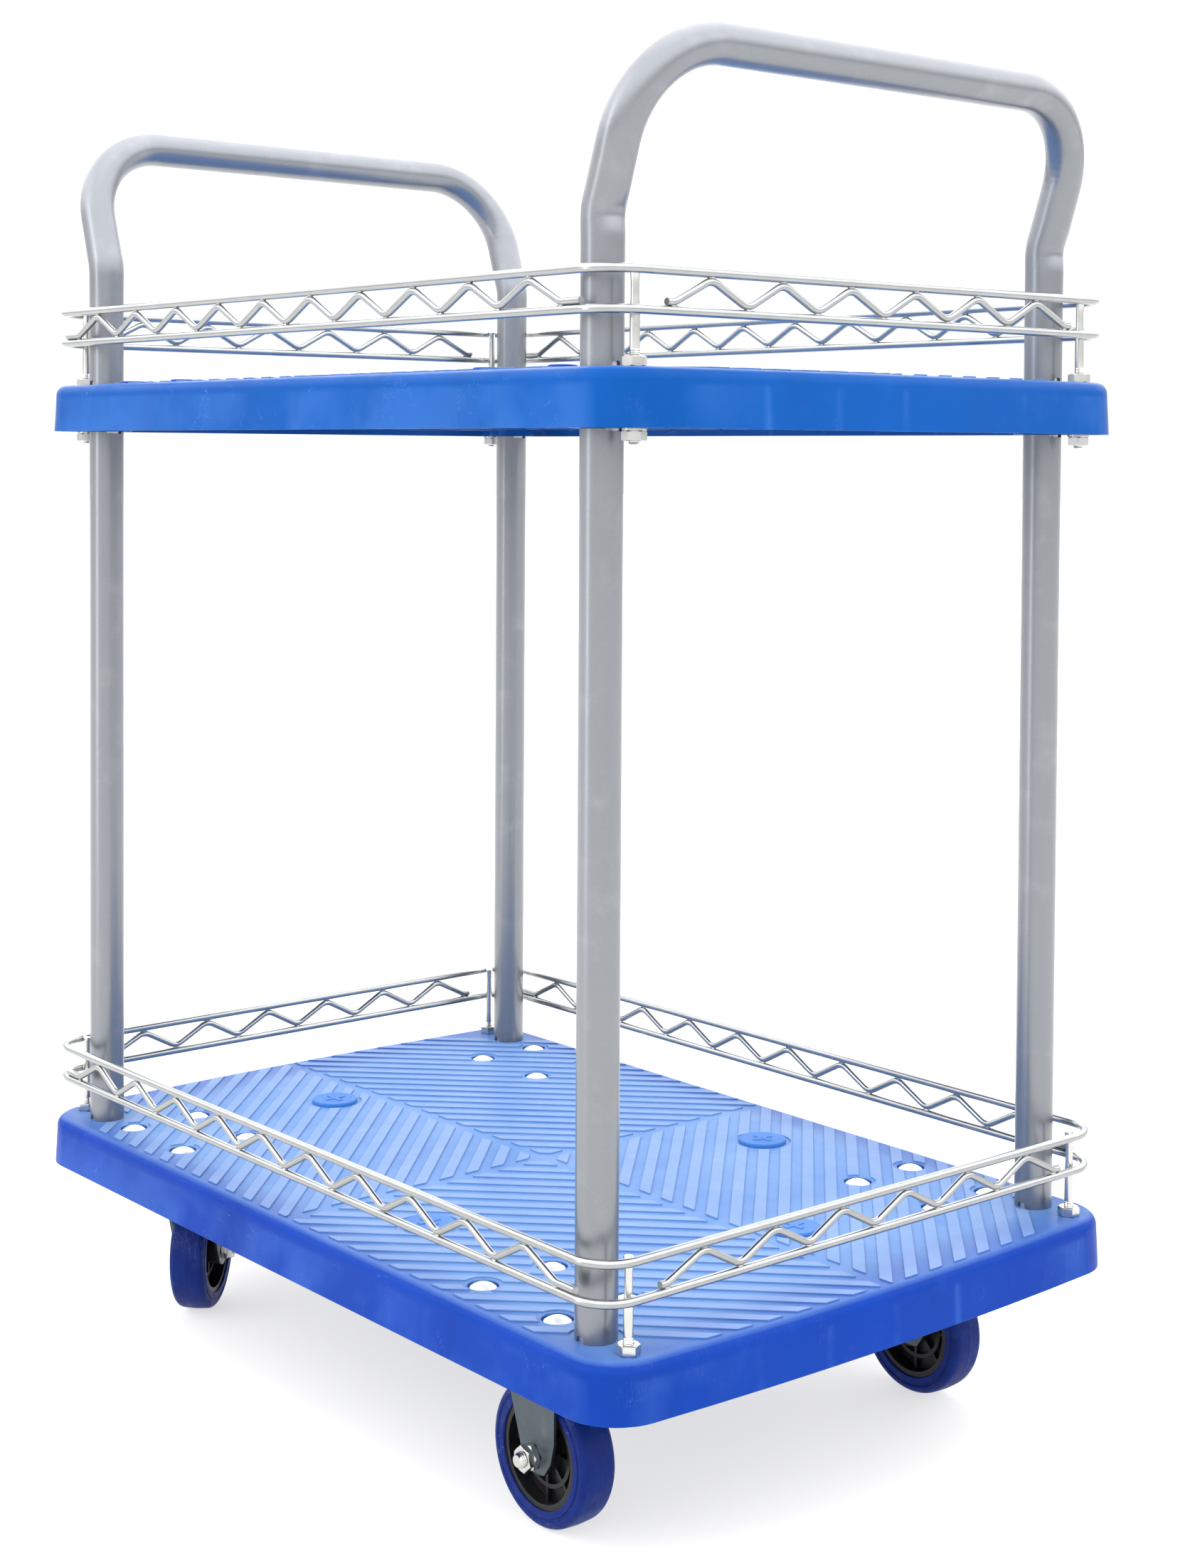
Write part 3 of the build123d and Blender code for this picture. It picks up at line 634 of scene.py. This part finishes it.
def notched_post(foot, top, foot_notch, top_notch):
    """Tube with a notch at each end: the rings near an end step back where the notch is. The notches are
    given by the angles that they face."""
    sides = 96
    levels = [0.0, 0.3 * MM, foot_notch_depth, 5 * MM, 40 * MM]
    heights = [foot + level for level in levels] + [top - level for level in reversed(levels)]
    points, faces = [], []
    for inset in (0.0, tube_wall):
        for height in heights:
            for step in range(sides):
                turn = 2 * math.pi * step / sides
                lifted = height
                in_foot_notch = near_angle(turn, foot_notch, foot_notch_half)
                in_top_notch = near_angle(turn, top_notch, top_notch_half)
                if in_foot_notch and height - foot < foot_notch_depth + notch_margin:
                    lifted = foot + foot_notch_depth
                if in_top_notch and top - height < top_notch_depth + notch_margin:
                    lifted = top - top_notch_depth
                edge = end_rounding if height in (heights[0], heights[-1]) else 0.0
                radius = tube_radius - inset + (edge if inset else -edge)
                points.append(Vector((radius * math.cos(turn), radius * math.sin(turn), lifted)))
    rows = len(heights)

    def face(row_a, row_b, flip, shell_a=0, shell_b=0):
        for step in range(sides):
            after = (step + 1) % sides
            a, b = (shell_a * rows + row_a) * sides, (shell_b * rows + row_b) * sides
            corner = [a + step, a + after, b + after, b + step]
            faces.append(corner[::-1] if flip else corner)

    for row in range(rows - 1):
        face(row, row + 1, False)
        face(row, row + 1, True, 1, 1)
    face(0, 0, True, 0, 1)
    face(rows - 1, rows - 1, False, 0, 1)
    return points, faces


for end, way_x in cart_ends:
    for side, way_y in cart_sides:
        node = f"post_{end}_{side}"
        low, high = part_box(node)
        tube = notched_post(low.z, high.z, -math.pi / 2, 0.0)
        post = Shape().add(tube, at(way_x * post_x, way_y * post_y, 0))
        post.piece(f"{node}_tube", tube_paint, "frame", "tube_paint", [node])


# ---------------------------------------------------------------- handles
handle_upright = 99 * MM
handle_slant = math.radians(18.5)
kink_bend = 45 * MM
handle_bend = 68 * MM
kink_dent = 1.8 * MM
kink_wrinkle = 0.5 * MM
kink_spread = 0.35 * MM
handle_notch_facing = {"front": 0.0, "rear": -math.pi / 2}


def handle_path(way):
    """Centre line of one handle; way is 1 at the front and -1 at the rear."""
    low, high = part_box("handle_front" if way > 0 else "handle_rear")
    kink = low.z + handle_upright
    bar = high.z - tube_radius
    lean_x = way * (post_x + (bar - kink) * math.tan(handle_slant))
    foot_x = way * post_x
    route = [(foot_x, -post_y, low.z), (foot_x, -post_y, kink), (lean_x, -post_y, bar)]
    route += [(x, -y, z) for x, y, z in reversed(route)]
    bends = [0, kink_bend, handle_bend, handle_bend, kink_bend, 0]
    return rounded([Vector(point) for point in route], bends, steps=16)


def filled_in(path, gap):
    """Adds points so that none are further apart than gap."""
    made = [path[0]]
    for here, there in zip(path, path[1:]):
        pieces = max(1, math.ceil((there - here).length / gap))
        made += [here.lerp(there, step / pieces) for step in range(1, pieces + 1)]
    return made


def bell(off, width):
    """A smooth hump: one where off is zero, near zero well beyond the width."""
    return math.exp(-((off / width) ** 2))


def crimped(path, way):
    """The tube's radius as a function of distance and direction: crushed a little on the inside of both
    kinks, with a wrinkle before and after each, and spread sideways."""
    total = sum((there - here).length for here, there in zip(path, path[1:]))

    def radius(distance, direction):
        inside = max(0.0, way * direction.x)
        across = abs(direction.y)
        reach = tube_radius
        for kink in (handle_upright, total - handle_upright):
            off = distance - kink
            wrinkles = bell(off - 15 * MM, 6 * MM) + bell(off + 15 * MM, 6 * MM)
            reach -= kink_dent * bell(off, 10 * MM) * inside ** 3
            reach += kink_wrinkle * wrinkles * inside ** 4
            reach += kink_spread * bell(off, 14 * MM) * across ** 2
        return reach

    return radius


def notch_feet(points, way, foot, facing):
    """Cuts a notch into both feet of a handle by lifting the end of the wall on the side that it faces."""
    for point in points:
        around = math.atan2(point.y - math.copysign(post_y, point.y), point.x - way * post_x)
        if point.z - foot < foot_notch_depth and near_angle(around, facing, foot_notch_half):
            point.z = foot + foot_notch_depth


for end, way in cart_ends:
    path = filled_in(handle_path(way), 2.5 * MM)
    handle = Shape().add(sweep(path, crimped(path, way), sides=64, wall=tube_wall))
    notch_feet(handle.points, way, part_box(f"handle_{end}")[0].z, handle_notch_facing[end])
    handle.piece(f"handle_{end}_tube", tube_paint, "frame", "tube_paint", [f"handle_{end}"], sharp=50)


# ---------------------------------------------------------------- rails
weld_radius = 1.9 * MM
weld_reach = 3.0 * MM
zigzag_pitch = 63 * MM
zigzag_slope = math.radians(28)
zigzag_bend = 12 * MM
zigzag_radius = 2.5 * MM


def hoop(height):
    """A closed ring of wire around the cart, its four corners bent round."""
    turns = ((1, -1), (1, 1), (-1, 1), (-1, -1))
    loop = [Vector((way_x * ring_x, way_y * ring_y, height)) for way_x, way_y in turns]
    path = filled_in(rounded(loop, ring_bend, closed=True, steps=12), 60 * MM)
    return sweep(path, ring_radius, 24, closed=True)


def weld(where, along, seed):
    """A small lumpy bead where two wires meet."""
    rng = random.Random(seed)
    bead = [(0, -1.0), (0.55, -0.83), (0.9, -0.35), (1.0, 0.1), (0.8, 0.62), (0.42, 0.9), (0, 1.0)]
    points, faces = lathe(bead, 14)
    turned = along.to_track_quat("Z", "Y").to_matrix()
    lumpy = []
    for point in points:
        bulge = 1 + rng.uniform(-0.14, 0.14)
        sized = Vector((point.x * weld_radius, point.y * weld_radius, point.z * weld_reach))
        lumpy.append(where + turned @ sized * bulge)
    return lumpy, faces


def zigzag(centre, along, waves, reach, low, high, seed):
    """Bent wire between two hoops, whose centre lines are at low and high, with a weld at each touch."""
    half = zigzag_pitch / 2
    corner_rise = half * math.tan(zigzag_slope) / 2
    resting = low + ring_radius + zigzag_radius
    bends = [(-reach, resting), (-2 * waves * half, resting)]
    for step in range(1 - 2 * waves, 2 * waves):
        way = -1 if step % 2 == 0 else 1
        bends.append((step * half, (low + high) / 2 + way * corner_rise))
    bends += [(2 * waves * half, resting), (reach, resting)]
    route = [centre + along * spot + Z * height for spot, height in bends]
    made = Shape().add(sweep(rounded(route, zigzag_bend, steps=10), zigzag_radius, 20))
    for index, (spot, height) in enumerate(bends[1:-1]):
        touch = high - ring_radius * 0.8 if height > (low + high) / 2 else low + ring_radius * 0.8
        made.add(weld(centre + along * spot + Z * touch, along, seed + index))
    return made.points, made.faces


for tier, top in tiers.items():
    for level in ("bottom", "top"):
        node = f"{tier}_rail_{level}_wire"
        Shape().add(hoop(middle(node).z)).piece(f"{node}_hoop", wire_zinc, "frame", "zinc_wire", [node])
    low = middle(f"{tier}_rail_bottom_wire").z
    high = middle(f"{tier}_rail_top_wire").z
    for kind, waves, across, along in (("end", 3, X, Y), ("side", 5, Y, X)):
        node = f"{tier}_rail_{kind}_zigzags"
        out = ring_x if kind == "end" else ring_y
        reach = size(node).dot(along) / 2
        both = Shape()
        for way in (1, -1):
            both.add(zigzag(across * out * way, along, waves, reach, low, high, seed=way * 50 + waves))
        both.piece(f"{node}_wires", wire_zinc, "frame", "zinc_wire", [node])


# ---------------------------------------------------------------- rail studs, nuts and washers
nut_height = 6.5 * MM
nut_flats = 14 * MM
washer_height = 1.6 * MM
washer_radius = 8 * MM


def rail_stud(deck, low, high):
    """Rod threaded at its foot, worn smooth and thinner above, with a plain end."""
    made = Shape()
    made.add(thread(stud_radius, low, deck + nut_height + 5 * MM))
    worn_from = nut_height + 4 * MM
    worn = [(0, worn_from), (3.1 * MM, worn_from), (3.2 * MM, worn_from + 1 * MM), (3.2 * MM, 32 * MM)]
    worn += [(2.7 * MM, 42 * MM), (2.65 * MM, 52 * MM), (3.1 * MM, 58 * MM)]
    profile = [(radius, deck + height) for radius, height in worn]
    profile += [(stud_radius, high - 2.2 * MM), (stud_radius, high - 0.5 * MM)]
    profile += [(stud_radius - 0.6 * MM, high), (0, high)]
    made.add(lathe(profile, 32))
    return made.points, made.faces


def flat_washer(top):
    """Washer whose upper face is at top, with a rounded lower rim."""
    bore = stud_radius + 0.1 * MM
    low = top - washer_height
    rim = 0.3 * MM
    lower = [(bore, low), (washer_radius - rim, low), (washer_radius, low + rim)]
    return closed_lathe(lower + [(washer_radius, top), (bore, top)])


def hexagonal_piece(shape, name, body, node):
    """A zinc-plated piece that stands for one node and keeps crisp edges between its flats."""
    shape.piece(name, nut_zinc, body, "fastener_zinc", [node], sharp=25)


nuts = Shape()
washers = Shape()
for tier, deck in tiers.items():
    low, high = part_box(f"{tier}_rail_studs")
    studs = Shape()
    under_nut = deck - deck_height - (washer_height if tier == "upper" else 0.0)
    for index, (x, y) in enumerate(corners(stud_x, stud_y)):
        studs.add(rail_stud(deck, low.z, high.z), at(x, y, 0, index))
        for level in ("bottom", "top"):
            outwards = math.copysign(stud_radius + 0.3 * MM, x)
            spot = Vector((x + outwards, y, middle(f"{tier}_rail_{level}_wire").z))
            studs.add(weld(spot, Z, 300 + index))
        turn = 0.4 * index + (0.25 if tier == "upper" else 0.0)
        nuts.add(hexagon(nut_flats, deck, deck + nut_height, stud_radius), at(x, y, 0, turn))
        nuts.add(hexagon(nut_flats, under_nut - nut_height, under_nut, stud_radius), at(x, y, 0, 1 - turn))
        if tier == "upper":
            washers.add(flat_washer(deck - deck_height), at(x, y, 0))
    studs.piece(f"{tier}_rail_stud_rods", nut_zinc, "frame", "fastener_zinc", [f"{tier}_rail_studs"])
hexagonal_piece(nuts, "rail_hex_nuts", "frame", "rail_nuts")
washers.piece("rail_flat_washers", nut_zinc, "frame", "fastener_zinc", ["rail_washers"])


# ---------------------------------------------------------------- wheels and axles
tyre_bore = 37 * MM
groove_start = 41.6 * MM
groove_end = 44.0 * MM
groove_depth = 0.8 * MM
groove_slope = 0.6 * MM
shoulder = 5.4 * MM
axle_radius = 5 * MM
axle_pitch = 1.5 * MM
axle_flats = 16 * MM
axle_head = 6.4 * MM
axle_nut = 4.7 * MM
axle_end = 32 * MM
leg_out = 18.5 * MM


def wheel_place(end, side, way):
    """Where a wheel's own Z lies: on the joint's axis, pointing to the side the nuts are on. The front nuts
    face outwards. Both rear casters are turned, and their nuts face left."""
    joint = joints[f"wheel_spin_{end}_{side}"]
    nuts_face = Vector((0, way, 0)) if end == "front" else Vector((-way, 1, 0))
    centre, axis = Vector(joint["pos_m"]), Vector(joint["axis"])
    if axis.dot(nuts_face) < 0:
        axis = -axis
    return Matrix.Translation(centre) @ axis.to_track_quat("Z", "X").to_matrix().to_4x4()


def tyre():
    """Cushion tyre: crowned tread with a fine mould line, round shoulders and a groove on each side."""
    half = size("tyre_front_left").y / 2
    side = [(tyre_bore, half - groove_slope), (tyre_bore + groove_slope, half), (groove_start, half)]
    bottom = half - groove_depth
    side += [(groove_start + groove_slope, bottom), (groove_end - groove_slope, bottom)]
    side.append((groove_end, half - 0.1 * MM))
    for step in range(8):
        turn = math.radians(84 - 78 * step / 7)
        radius = wheel_radius - shoulder + 4.9 * MM * math.cos(turn)
        side.append((radius, half - shoulder + 5.3 * MM * math.sin(turn)))
    side += [(wheel_radius - 0.12 * MM, 3.0 * MM), (wheel_radius - 0.05 * MM, 0.5 * MM)]
    side.append((wheel_radius, 0.25 * MM))
    profile = side + [(radius, -height) for radius, height in reversed(side)]
    return closed_lathe(profile, 128)


def axle_hardware(place, bolts, nuts):
    """Bolt with its head on the inner leg; two nuts and a threaded end on the outer leg."""
    bolts.add(hexagon(axle_flats, -leg_out - axle_head, -leg_out), place)
    shank = [(0, -leg_out), (axle_radius, -leg_out), (axle_radius, leg_out), (0, leg_out)]
    bolts.add(lathe(shank, 32), place)
    bolts.add(thread(axle_radius, leg_out - 1 * MM, axle_end, pitch=axle_pitch), place)
    for index, turn in enumerate((0.2, 0.75)):
        low = leg_out + index * axle_nut
        nuts.add(hexagon(axle_flats, low, low + axle_nut, axle_radius), place @ at(0, 0, 0, turn))


for side, way in cart_sides:
    for end, _ in cart_ends:
        name = f"tyre_{end}_{side}"
        made = Shape().add(tyre(), wheel_place(end, side, way))
        made.piece(f"{name}_rubber", rubber, f"wheel_{end}_{side}", "tyre_rubber", [name])

front_bolts, front_nuts = Shape(), Shape()
for side, way in cart_sides:
    axle_hardware(wheel_place("front", side, way), front_bolts, front_nuts)
    bolts, nuts = Shape(), Shape()
    axle_hardware(wheel_place("rear", side, way), bolts, nuts)
    hexagonal_piece(bolts, f"swivel_axle_{side}_bolt", f"swivel_{side}", f"swivel_axle_bolt_{side}")
    hexagonal_piece(nuts, f"swivel_axle_{side}_nuts", f"swivel_{side}", f"swivel_axle_nuts_{side}")
hexagonal_piece(front_bolts, "rigid_axles_bolts", "frame", "rigid_axle_bolts")
hexagonal_piece(front_nuts, "rigid_axles_nuts", "frame", "rigid_axle_nuts")


# ---------------------------------------------------------------- floor, light and camera
def floor_material():
    look = Look("studio_floor", specular=0.2)
    tint = look.span(look.noise(1.6, detail=3.0), 0.3, 0.7, 0.0, 1.0)
    look.shader.inputs["Emission Color"].default_value = (1.0, 1.0, 1.0, 1.0)
    look.shader.inputs["Emission Strength"].default_value = 0.62
    colour = look.mix(tint, (0.38, 0.375, 0.36), (0.41, 0.405, 0.39))
    return look.done(colour, look.span(look.noise(9.0), 0.3, 0.7, 0.75, 0.85))


floor_half = 30.0
floor_level = -0.5 * MM
floor_points = [(x, y, floor_level) for x, y in corners(floor_half, floor_half)]
floor_mesh = bpy.data.meshes.new("studio_floor")
floor_mesh.from_pydata(floor_points, [], [(0, 2, 3, 1)])
floor_mesh.materials.append(floor_material())
floor = bpy.data.objects.new("studio_floor", floor_mesh)
bpy.context.scene.collection.objects.link(floor)
floor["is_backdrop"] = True


def area_light(name, where, aim, width, height, power, colour):
    data = bpy.data.lights.new(name, "AREA")
    data.shape = "RECTANGLE"
    data.size = width
    data.size_y = height
    data.energy = power
    data.color = colour
    made = bpy.data.objects.new(name, data)
    bpy.context.scene.collection.objects.link(made)
    made.location = where
    made.rotation_euler = (Vector(aim) - Vector(where)).to_track_quat("-Z", "Y").to_euler()
    return made


def studio_world(bright_way, dim, bright, sky):
    """A plain room, bright on one side, dim on the other and lit from above, so that metal has light and
    dark bands."""
    world = bpy.data.worlds.new("studio")
    bpy.context.scene.world = world
    world.use_nodes = True
    tree = world.node_tree
    background = tree.nodes["Background"]
    background.inputs["Color"].default_value = (1.0, 1.0, 1.0, 1.0)
    coordinates = tree.nodes.new("ShaderNodeTexCoord")

    def spread(way, low, high, to_low, to_high):
        """Strength that goes from to_low to to_high as the direction turns towards the given way."""
        dot = tree.nodes.new("ShaderNodeVectorMath")
        dot.operation = "DOT_PRODUCT"
        dot.inputs[1].default_value = way
        made = tree.nodes.new("ShaderNodeMapRange")
        for index, number in enumerate((low, high, to_low, to_high)):
            made.inputs[index + 1].default_value = number
        tree.links.new(coordinates.outputs["Generated"], dot.inputs[0])
        tree.links.new(dot.outputs["Value"], made.inputs[0])
        return made.outputs["Result"]

    brighter = tree.nodes.new("ShaderNodeMath")
    brighter.operation = "MAXIMUM"
    tree.links.new(spread(bright_way, -0.9, 0.65, dim, bright), brighter.inputs[0])
    tree.links.new(spread((0, 0, 1), -0.05, 0.4, dim, sky), brighter.inputs[1])
    tree.links.new(brighter.outputs[0], background.inputs["Strength"])


studio_world((-0.76, 0.64, 0.12), 0.36, 1.03, 2.7)
area_light("key", (-1.2, -3.2, 3.0), (0, 0, 0.4), 2.6, 2.6, 8, (1.0, 0.99, 0.97))
area_light("strip", (-0.6, -2.4, 0.9), (0, 0, 0.5), 0.45, 2.4, 10, (1.0, 1.0, 1.0))
area_light("top", (0, 0.6, 4.0), (0, 0, 0), 3.0, 3.0, 12, (0.97, 0.99, 1.0))

view = bpy.context.scene.view_settings
view.view_transform = "Standard"

# the lens and the sensor are in millimetres; the sensor lies along the picture's longer side
camera_data = bpy.data.cameras.new("camera")
camera_data.sensor_width = 36.0
camera_data.lens = 54.38875
camera_data.shift_y = -0.161
camera_data.clip_end = 100
camera = bpy.data.objects.new("camera", camera_data)
bpy.context.scene.collection.objects.link(camera)
heading = math.radians(135) + 0.088
tilt = 0.033
roll = 0.006
forward = Vector((math.cos(heading) * math.cos(tilt), math.sin(heading) * math.cos(tilt), -math.sin(tilt)))
right = Vector((math.sin(heading), -math.cos(heading), 0))
up = right.cross(forward)
right, up = math.cos(roll) * right + math.sin(roll) * up, math.cos(roll) * up - math.sin(roll) * right
camera_turned = Matrix((right, up, -forward)).transposed().to_4x4()
camera.matrix_world = Matrix.Translation((1.46233, -1.17273, 0.71969)) @ camera_turned
bpy.context.scene.camera = camera

# ---------------------------------------------------------------- the scene's bounds
low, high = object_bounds()
